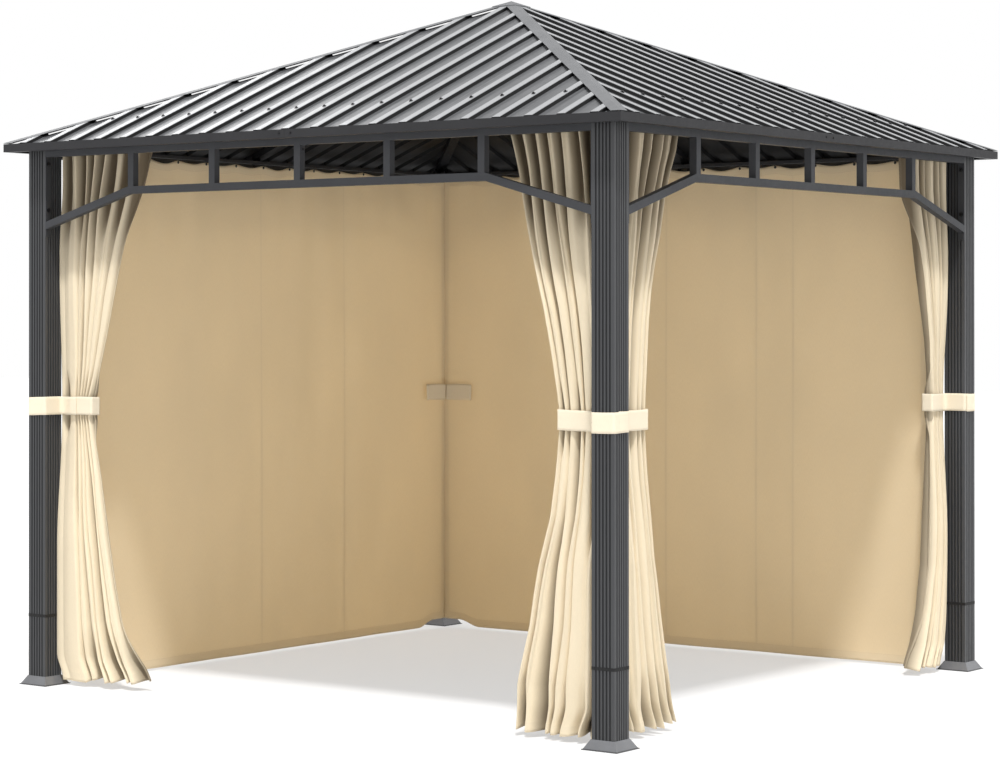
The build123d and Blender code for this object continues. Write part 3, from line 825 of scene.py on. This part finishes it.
# A flat band of cloth stood on edge along a line
def bandPlace(line, low, high, seed, arch=0.0):
    rng = random.Random(seed)
    phases = [rng.uniform(0, 6.28) for _ in range(3)]
    lengths = np.cumsum([0] + [(b - a).length for a, b in zip(line, line[1:])])
    total = float(lengths[-1])

    def place(u, v):
        x = float(np.interp(u * total, lengths, [p.x for p in line]))
        y = float(np.interp(u * total, lengths, [p.y for p in line]))
        waves = [math.sin(rate * u * total + phase) for rate, phase in zip(tieBand["ripples"], phases)]
        shift = tieBand["sway"] * (waves[0] + 0.5 * waves[1])
        shift += arch * math.sin(math.pi * ((u * 2) % 1.0)) * (1 - v)
        return (x, y, mixed(high, low, v) + shift)

    return place, total


def makeBand(name, node, line, seed, restsOn, arch=0.0):
    low, high = site["tieLow"], site["tieHigh"]
    place, total = bandPlace(line, low, high, seed, arch)
    columns = int(total / tieBand["step"]) * 2
    rows = [i / tieBand["rows"] for i in range(tieBand["rows"] + 1)]
    piece = clothSheet(name, columns, rows, place, total, high - low, finish["tie"], tieBand["thickness"])
    declareCloth(piece, node, total, high - low, restsOn)


def singleTie(width):
    # the plan round the front left post and the curtain beside it
    face, inside, outside = site["postFace"], site["postInside"], site["curtainOutside"]
    inward = tieBand["depth"] - outside
    dip = tieBand["dip"]
    return [(-face, -face), (-inside, -face), (-inside, -outside - dip), (-outside + dip, -outside - 0.001),
            (width - outside, -outside), (width - outside, inward), (-outside, inward), (-face, -inside)]


def cornerTie(frontWidth, rightWidth):
    # the plan round the front right post and both curtains beside it
    face, inside, outside = site["postFace"], site["postInside"], site["curtainOutside"]
    inward = outside - tieBand["depth"]
    dip = tieBand["dip"]
    return [(face, -face), (face, -inside), (outside + dip, -inside), (outside + 0.001, dip - outside),
            (outside, rightWidth - outside), (inward, rightWidth - outside), (outside - frontWidth, -inward),
            (outside - frontWidth, -outside), (outside - dip, -outside - 0.001), (inside, -outside - dip),
            (inside, -face)]


def makeTies():
    widths = tieBand["widths"]
    backRight = [(-y, -x) for x, y in singleTie(widths["rightBack"])]
    # name, node, plan, where the lap begins, and the post
    plans = (
        ("frontLeftTie", "front_left_tie", singleTie(widths["frontLeft"]), (-1.30, -1.35), "post_front_left"),
        ("backRightTie", "back_right_tie", backRight, (1.43, 1.395), "post_back_right"),
        ("frontRightTie", "front_right_tie", cornerTie(widths["frontRight"], widths["rightFront"]),
         (1.43, -1.40), "post_front_right"),
    )
    for seed, (name, node, plan, start, post) in enumerate(plans):
        ring = roundedLine(pushedOut(plan, tieBand["off"]), tieBand["corner"], tieBand["step"])
        line = lappedLine(ring, start, tieBand["lap"])
        makeBand(name, node, line, seed + 1, post)


# Two loose ties hang flat against the closed curtains, beside the corner that these share
looseTie = {
    "far": 0.156,  # from the corner
    "near": 0.010,
    "depth": 0.009,
    "arch": 0.004,
    "off": 0.0015,  # its outer side from the curtain
    "bend": 0.004,  # radius, and distance between two points of the line
}


def makeLoops():
    wall = site["wallInside"] - looseTie["off"]
    near, far = looseTie["near"] - wall, looseTie["far"] - wall
    back = [(near, wall), (far, wall), (far, wall - looseTie["depth"]), (near, wall - looseTie["depth"])]
    left = [(-y, -x) for x, y in back]
    loops = (("backLoop", back, 5, "backCurtain"), ("leftLoop", left, 6, "leftCurtain"))
    for name, plan, seed, curtain in loops:
        ring = roundedLine(plan, looseTie["bend"], looseTie["bend"])
        makeBand(name, "tie_loops", ring + [ring[0]], seed, curtain, looseTie["arch"])


makeTies()
makeLoops()
print("ties made")


# Builds the node trees of what repeats. Every tree places its shape on points that carry an "aim"
class Tree:
    def __init__(self, name, sizes):
        self.tree = bpy.data.node_groups.new(name, "GeometryNodeTree")
        face = self.tree.interface
        face.new_socket("Places", in_out="INPUT", socket_type="NodeSocketGeometry")
        for size, kind in sizes:
            face.new_socket(size, in_out="INPUT", socket_type=kind)
        face.new_socket("Geometry", in_out="OUTPUT", socket_type="NodeSocketGeometry")
        self.given = self.tree.nodes.new("NodeGroupInput").outputs
        self.result = self.tree.nodes.new("NodeGroupOutput").inputs["Geometry"]

    def node(self, kind, inputs=None, **settings):
        return addNode(self.tree, kind, inputs, **settings)

    def number(self, operation, first, second):
        return self.node("ShaderNodeMath", {0: first, 1: second}, operation=operation)[0]

    def upright(self, sides, radius, height, base):
        # a closed cylinder that stands on the height base
        sizes = {"Vertices": sides, "Radius": radius, "Depth": height}
        body = self.node("GeometryNodeMeshCylinder", sizes)["Mesh"]
        middle = self.number("ADD", base, self.number("MULTIPLY", height, 0.5))
        lift = self.node("ShaderNodeCombineXYZ", {"Z": middle})[0]
        return self.node("GeometryNodeTransform", {"Geometry": body, "Translation": lift})["Geometry"]

    def joined(self, shapes):
        node = self.tree.nodes.new("GeometryNodeJoinGeometry")
        for shape in shapes:
            self.tree.links.new(shape, node.inputs["Geometry"])
        return node.outputs["Geometry"]

    def place(self, shape, axis, spin=None):
        named = self.node("GeometryNodeInputNamedAttribute", {"Name": "aim"}, data_type="FLOAT_VECTOR")
        aim = {"Vector": named["Attribute"]}
        turn = self.node("FunctionNodeAlignRotationToVector", aim, axis=axis)["Rotation"]
        if spin is not None:
            by = self.node("FunctionNodeAxisAngleToRotation", {"Axis": (0, 0, 1), "Angle": spin})["Rotation"]
            turn = self.node("FunctionNodeRotateRotation", {"Rotation": turn, "Rotate By": by},
                             rotation_space="LOCAL")["Rotation"]
        spots = self.node("GeometryNodeInstanceOnPoints",
                          {"Points": self.given["Places"], "Instance": shape, "Rotation": turn})["Instances"]
        real = self.node("GeometryNodeRealizeInstances", {"Geometry": spots})["Geometry"]
        done = self.node("GeometryNodeSetMaterial", {"Geometry": real, "Material": self.given["Finish"]})
        self.tree.links.new(done["Geometry"], self.result)
        return self.tree


number, whole, surface = "NodeSocketFloat", "NodeSocketInt", "NodeSocketMaterial"


def screwTree():
    # a head on a washer, turned about its own axis by chance
    t = Tree("screws", (("Head radius", number), ("Head height", number), ("Head sides", whole),
                        ("Washer radius", number), ("Washer height", number), ("Washer sides", whole),
                        ("Seed", whole), ("Finish", surface)))
    given = t.given
    head = t.upright(given["Head sides"], given["Head radius"], given["Head height"], given["Washer height"])
    washer = t.upright(given["Washer sides"], given["Washer radius"], given["Washer height"], 0.0)
    angles = {2: 0.0, 3: math.pi, "Seed": given["Seed"]}
    spin = t.node("FunctionNodeRandomValue", angles, data_type="FLOAT")[1]
    return t.place(t.joined((washer, head)), "Z", spin)


def stitchTree():
    # a short thread lying along its aim
    t = Tree("stitches", (("Length", number), ("Thread radius", number), ("Finish", surface)))
    start = t.number("MULTIPLY", t.given["Length"], -0.5)
    return t.place(t.upright(5, t.given["Thread radius"], t.given["Length"], start), "Z")


def hookTree():
    # a wire ring through the cloth, a stem above it and a glider in the rail
    t = Tree("hooks", (("Ring radius", number), ("Wire radius", number), ("Stem", number),
                       ("Glider", "NodeSocketVector"), ("Finish", surface)))
    curves = []
    for steps, radius in ((18, "Ring radius"), (6, "Wire radius")):
        circle = {"Resolution": steps, "Radius": t.given[radius]}
        curves.append(t.node("GeometryNodeCurvePrimitiveCircle", circle)["Curve"])
    ring = t.node("GeometryNodeCurveToMesh", {"Curve": curves[0], "Profile Curve": curves[1]})["Mesh"]
    ring = t.node("GeometryNodeTransform", {"Geometry": ring, "Rotation": (math.pi / 2, 0, 0)})["Geometry"]
    stem = t.upright(8, t.given["Wire radius"], t.given["Stem"], t.given["Ring radius"])
    glider = t.node("GeometryNodeMeshCube", {"Size": t.given["Glider"]})["Mesh"]
    top = t.node("ShaderNodeCombineXYZ", {"Z": t.number("ADD", t.given["Ring radius"], t.given["Stem"])})[0]
    glider = t.node("GeometryNodeTransform", {"Geometry": glider, "Translation": top})["Geometry"]
    return t.place(t.joined((ring, stem, glider)), "X")


trees = {"screws": screwTree(), "stitches": stitchTree(), "hooks": hookTree()}


# Puts a tree's shape at each (point, aim) and keeps the result as a plain mesh
def repeated(name, kind, places, sizes):
    mesh = bpy.data.meshes.new(name)
    mesh.from_pydata([point for point, aim in places], [], [])
    aims = mesh.attributes.new("aim", "FLOAT_VECTOR", "POINT")
    aims.data.foreach_set("vector", [value for point, aim in places for value in aim])
    piece = newPiece(name, mesh)
    modifier = piece.modifiers.new("made", "NODES")
    modifier.node_group = trees[kind]
    for item in trees[kind].interface.items_tree:
        if item.in_out == "INPUT" and item.name in sizes:
            modifier[item.identifier] = sizes[item.name]
    plainPiece(piece)
    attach(piece, "root")
    return piece


def fastener(head, washer, sides, seed, material):
    # head and washer as (radius, height)
    return {"Head radius": head[0], "Head height": head[1], "Head sides": sides,
            "Washer radius": washer[0], "Washer height": washer[1], "Washer sides": 16,
            "Seed": seed, "Finish": finish[material]}


fixings = {
    "roofScrew": fastener((0.0045, 0.0045), (0.0080, 0.0018), 6, 3, "screw"),
    "bolt": fastener((0.0065, 0.0050), (0.0090, 0.0015), 6, 4, "screw"),
    "smallScrew": fastener((0.0035, 0.0022), (0.0048, 0.0008), 12, 5, "screw"),
    "eyelet": fastener((0.0040, 0.0010), (0.0062, 0.0008), 14, 6, "hook"),
    "hook": {"Ring radius": 0.0065, "Wire radius": 0.0011, "Stem": 0.0070,
             "Glider": (0.011, 0.009, 0.006), "Finish": finish["hook"]},
    "stitch": {"Length": 0.0030, "Thread radius": 0.00035, "Finish": finish["thread"]},
    "stitchPitch": 0.0048,
    "stitchLift": 0.0006,
    "roofScrewRow": 1.259,  # plan distance of the screws' row from the centre
    "hipClear": 0.07,  # between a roof screw and the hip
    "seamScrew": 0.028,  # from a fascia's seam
    "seamScrewUp": 0.018,  # from the eave
    "boltReach": 0.025,  # from a truss's seam
    "plate": 0.003,  # thickness of the truss's plates
    "plateBolts": (2.138, 1.948),  # heights on the trusses' end plates
    "beamBolt": 0.020,  # above the beam's underside
    "hipCheek": (0.0233, 2.2300),  # half width of a hip saddle, and its bolt's height
    "middleCheek": (0.0183, 2.2255),  # the same for a middle saddle
    "eyeletDrop": 0.0075,  # below the cloth's top, in metres
    "eyeletShare": 0.0035,  # and as a share of its height
    "hookDrop": 0.003,
}


def onAllSides(front):
    # (point, aim) pairs of the front, repeated on the four sides
    return [(turned(point, side), turned(aim, side)) for side in range(4) for point, aim in front]


def ribPlaces(reach):
    # places along one side of the ribs that are less than reach from its middle
    middle = (site["ribCount"] - 1) / 2
    places = [(i - middle) * site["ribPitch"] for i in range(site["ribCount"])]
    return [x for x in places if abs(x) < reach]


def roofScrewPlaces():
    distance = fixings["roofScrewRow"]
    stretch = math.hypot(1, roofSlope)
    aim = (0, -roofSlope / stretch, 1 / stretch)
    level = panHeight(distance) + site["ribLift"]
    return onAllSides([((x, -distance, level), aim) for x in ribPlaces(distance - fixings["hipClear"])])


def frameBoltPlaces():
    # on the plates behind each truss's seam, on its end plates, and through the saddles' cheeks
    seamFace = site["barInside"] - fixings["plate"]
    endFace = site["postInside"] - fixings["plate"]
    barMiddle = site["postFace"] - site["barSide"] / 2
    heights = (site["beamLow"] + fixings["beamBolt"], site["railLow"] + site["barSide"] / 2)
    reach, middle, diagonal = fixings["boltReach"], site["postMiddle"], math.sqrt(0.5)
    front = [((x, -seamFace, z), (0, 1, 0)) for z in heights for x in (-reach, reach)]
    for z in fixings["plateBolts"]:
        for sign in (-1, 1):
            front.append(((sign * endFace, -barMiddle, z), (-sign, 0, 0)))
    for sign in (-1, 1):
        half, z = fixings["hipCheek"]
        cheek = sign * half * diagonal
        front.append(((cheek - middle, -middle - cheek, z), (sign * diagonal, -sign * diagonal, 0)))
        half, z = fixings["middleCheek"]
        front.append(((sign * half, -barMiddle, z), (sign, 0, 0)))
    return onAllSides(front)


bracket = {
    "leg": 0.026,
    "wide": 0.020,
    "wall": 0.0025,
    "screw": (0.034, 0.014),  # from the truss's middle, and below the bracket's top leg
}


def seamScrewPlaces():
    # beside each fascia's seam, and on the small brackets under the beams
    barMiddle = site["postFace"] - site["barSide"] / 2
    across, down = bracket["screw"]
    low = site["beamLow"] - bracket["wall"]
    level = site["eaveLow"] + fixings["seamScrewUp"]
    reach = fixings["seamScrew"]
    front = [((x, -site["roofSide"], level), (0, -1, 0)) for x in (-reach, reach)]
    front.append(((across, -barMiddle, low), (0, 0, -1)))
    front.append(((site["barSide"] / 2 + bracket["wall"], -barMiddle, low - down), (1, 0, 0)))
    return onAllSides(front)


def solidPiece(name, blocks, material):
    # each block is a closed prism between two rings of points
    vertices, faces = [], []
    for low, high in blocks:
        base, count = len(vertices), len(low)
        vertices += low + high
        faces += [[base + i for i in range(count)], [base + count + i for i in range(count)]]
        for i in range(count):
            after = (i + 1) % count
            faces.append((base + i, base + after, base + after + count, base + i + count))
    mesh = bpy.data.meshes.new(name)
    mesh.from_pydata(vertices, [], faces)
    shape = bmesh.new()
    shape.from_mesh(mesh)
    bmesh.ops.recalc_face_normals(shape, faces=shape.faces)
    shape.to_mesh(mesh)
    shape.free()
    mesh.materials.append(material)
    piece = newPiece(name, mesh)
    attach(piece, "root")


def bracketBlocks():
    # an angle on the right of each middle upright, under the beam
    leg, wide, wall = bracket["leg"], bracket["wide"] / 2, bracket["wall"]
    middle = site["postFace"] - site["barSide"] / 2
    half, top = site["barSide"] / 2, site["beamLow"]
    section = [(half, top), (half + leg, top), (half + leg, top - wall), (half + wall, top - wall),
               (half + wall, top - leg), (half, top - leg)]
    ends = (-middle - wide, wide - middle)
    return [[[turned((x, y, z), side) for x, z in section] for y in ends] for side in range(4)]


ribFiller = {
    "near": 1.470,  # plan distances from the centre
    "far": 1.482,
    "foot": 0.0225,  # half widths
    "crown": 0.0145,
    "below": 0.0016,  # under the sheet's upper side
    "hipClear": 0.05,  # between a filled rib and the hip
}


def fillerBlocks():
    # foam that closes the hollow of each rib at the eave
    foot, crown = ribFiller["foot"], ribFiller["crown"]
    blocks = []
    for side in range(4):
        for x in ribPlaces(ribFiller["near"] - ribFiller["hipClear"]):
            rings = []
            for distance in (ribFiller["near"], ribFiller["far"]):
                low = panHeight(distance) - ribFiller["below"]
                high = low + site["ribLift"]
                ring = [(x - foot, low), (x + foot, low), (x + crown, high), (x - crown, high)]
                rings.append([turned((across, -distance, z), side) for across, z in ring])
            blocks.append(rings)
    return blocks


gasket = {
    "low": 0.2785,
    "high": 0.2905,
    "outside": 0.0477,  # half its width
    "wall": 0.0012,
}


def gasketBlocks():
    # a seal round the joint of each post, in four mitred strips
    blocks = []
    far = gasket["outside"]
    near = far - gasket["wall"]
    for side in range(4):
        for strip in range(4):
            plan = [turned(point, strip) for point in ((-far, -far, 0), (far, -far, 0), (near, -near, 0),
                                                       (-near, -near, 0))]
            rings = []
            for z in (gasket["low"], gasket["high"]):
                rings.append([turned((x - site["postMiddle"], y - site["postMiddle"], z), side)
                              for x, y, _ in plan])
            blocks.append(rings)
    return blocks


def curtainFixings():
    # an eyelet in the cloth and a hook above it at each hanging point
    eyelets, hooks = [], []
    level = wallCurtain["top"] - fixings["eyeletDrop"]
    ringLevel = level + fixings["hook"]["Ring radius"]
    skin = cloth["hemThickness"] / 2
    walls = ((backPlace, wallCurtain["backHooks"], (0, -1, 0)),
             (leftPlace, wallCurtain["leftHooks"], (1, 0, 0)))
    for place, marks, inward in walls:
        for mark in marks:
            u = (mark - wallCurtain["start"]) / (wallCurtain["end"] - wallCurtain["start"])
            x, y, _ = place(u, fixings["eyeletShare"])
            eyelets.append(((x + inward[0] * skin, y + inward[1] * skin, level), inward))
            hooks.append(((x, y, ringLevel), inward))
    for facts, where in zip(bundles.values(), wheres):
        for ridge in facts["top"][1:]:
            middle = where(ridge, site["curtainOutside"] - site["hookPlane"], 0)
            inside = where(ridge, 1.0, 0)
            aim = (Vector(inside) - Vector(middle)).normalized()
            hooks.append(((middle[0], middle[1], site["curtainTop"] - fixings["hookDrop"]), tuple(aim)))
    return eyelets, hooks


def stitchRow(place, start, end, out):
    # stitches along the cloth between two (u, v), on its inner face
    length = (Vector(place(*end)) - Vector(place(*start))).length
    count = max(int(length / fixings["stitchPitch"]), 2)
    line = [Vector(place(mixed(start[0], end[0], i / count), mixed(start[1], end[1], i / count)))
            for i in range(count + 1)]
    return [(tuple((a + b) / 2 + Vector(out)), tuple((b - a).normalized())) for a, b in zip(line, line[1:])]


def hemStitches():
    # along the hem, the heading and the free edge of each closed curtain
    places = []
    skin = cloth["thickness"] / 2 + fixings["stitchLift"]
    u = cloth["hemWidth"] / (wallCurtain["end"] - wallCurtain["start"])
    v = cloth["hemWidth"] / (wallCurtain["top"] - wallCurtain["hem"])
    for place, out in ((backPlace, (0, -skin, 0)), (leftPlace, (skin, 0, 0))):
        places += stitchRow(place, (u, 1 - v), (1 - u, 1 - v), out)
        places += stitchRow(place, (u, v), (1 - u, v), out)
        places += stitchRow(place, (1 - u, v), (1 - u, 1 - v), out)
    return places


repeated("roofScrews", "screws", roofScrewPlaces(), fixings["roofScrew"])
repeated("frameBolts", "screws", frameBoltPlaces(), fixings["bolt"])
repeated("seamScrews", "screws", seamScrewPlaces(), fixings["smallScrew"])
solidPiece("beamBrackets", bracketBlocks(), finish["truss"])
solidPiece("ribFillers", fillerBlocks(), finish["joint"])
solidPiece("postGaskets", gasketBlocks(), finish["joint"])
eyeletPlaces, hookPlaces = curtainFixings()
repeated("curtainEyelets", "screws", eyeletPlaces, fixings["eyelet"])
repeated("curtainHooks", "hooks", hookPlaces, fixings["hook"])
repeated("hemStitches", "stitches", hemStitches(), fixings["stitch"])
print("screws, bolts, hooks and stitches made")


studio = {
    "floorReach": 40.0,
    "floorDrop": 0.0005,  # below the feet
    "floorColour": paint(240, 240, 240),
    "floorGlow": 0.5,  # lightens the floor's shadow where it is seen
    "sunStrength": 3.1,
    "sunAngle": 0.09,
    "sunFrom": (0.30, -0.36, 1.0),
    "ambient": 0.68,
    "rimFrom": (-0.75, 0.45, 0.49),  # a soft box behind the gazebo, on the left
    "rimTarget": (0, -0.5, 2.5),
    "rimDistance": 9.0,
    "rimSide": 3.0,
    "rimPower": 110.0,
}


def seenDirectly(tree):
    # 1 where the camera, a reflection or clear glass looks at a surface
    path = addNode(tree, "ShaderNodeLightPath")
    seen = calculate(tree, "MAXIMUM", path["Is Camera Ray"], path["Is Glossy Ray"])
    return calculate(tree, "MAXIMUM", seen, path["Is Transmission Ray"])


def makeStage():
    mesh = bpy.data.meshes.new("floor")
    reach = studio["floorReach"]
    corners = [(-reach, -reach, 0), (reach, -reach, 0), (reach, reach, 0), (-reach, reach, 0)]
    mesh.from_pydata(corners, [], [(0, 1, 2, 3)])
    floor = newPiece("floor", mesh)
    floor.location.z = -studio["floorDrop"]
    material, tree, shader = startMaterial("floorPaint")
    setInputs(tree, shader, {"Base Color": studio["floorColour"], "Roughness": 0.9,
                             "Specular IOR Level": 0.0})
    glow = addNode(tree, "ShaderNodeEmission", {"Color": (1, 1, 1, 1)})["Emission"]
    share = calculate(tree, "MULTIPLY", seenDirectly(tree), studio["floorGlow"])
    mixShaders(tree, tree.nodes["Material Output"], share, shader.outputs["BSDF"], glow)
    mesh.materials.append(material)


def makeLamps():
    key = bpy.data.lights.new("key", "SUN")
    key.energy = studio["sunStrength"]
    key.angle = studio["sunAngle"]
    lamp = newPiece("key", key)
    lamp.rotation_euler = Vector(studio["sunFrom"]).to_track_quat("Z", "Y").to_euler()
    rim = bpy.data.lights.new("rim", "AREA")
    rim.energy = studio["rimPower"]
    rim.size = studio["rimSide"]
    lamp = newPiece("rim", rim)
    direction = Vector(studio["rimFrom"]).normalized()
    lamp.location = Vector(studio["rimTarget"]) + direction * studio["rimDistance"]
    lamp.rotation_euler = direction.to_track_quat("Z", "Y").to_euler()


def makeWorld():
    world = bpy.data.worlds.new("studio")
    bpy.context.scene.world = world
    world.use_nodes = True
    tree = world.node_tree
    tree.nodes.clear()
    output = tree.nodes.new("ShaderNodeOutputWorld")
    skies = []
    for strength in (studio["ambient"], 1.0):
        white = {"Color": (1, 1, 1, 1), "Strength": strength}
        skies.append(addNode(tree, "ShaderNodeBackground", white)["Background"])
    mixShaders(tree, output, seenDirectly(tree), *skies)


camera = {
    "place": (6.592, -9.479, 1.522),
    "turn": 38.19,  # degrees round from the front
    "tilt": 0.276,
    "focal": 2739.0,  # in pixels of the photo's frame
    "frame": (1000, 761),
    "centre": (350.0, 300.9),  # where the view axis meets the frame
    "sensor": 36.0,
}


def makeCamera():
    wide, tall = camera["frame"]
    lens = bpy.data.cameras.new("camera")
    lens.sensor_width = camera["sensor"]
    lens.lens = camera["focal"] / wide * lens.sensor_width
    lens.shift_x = (wide / 2 - camera["centre"][0]) / wide
    lens.shift_y = (camera["centre"][1] - tall / 2) / wide
    eye = newPiece("camera", lens)
    eye.location = camera["place"]
    eye.rotation_euler = (math.radians(90 + camera["tilt"]), 0, math.radians(camera["turn"]))
    bpy.context.scene.camera = eye


makeStage()
makeLamps()
makeWorld()
makeCamera()
bpy.context.scene.view_settings.view_transform = "Standard"
print("stage, light and camera made")
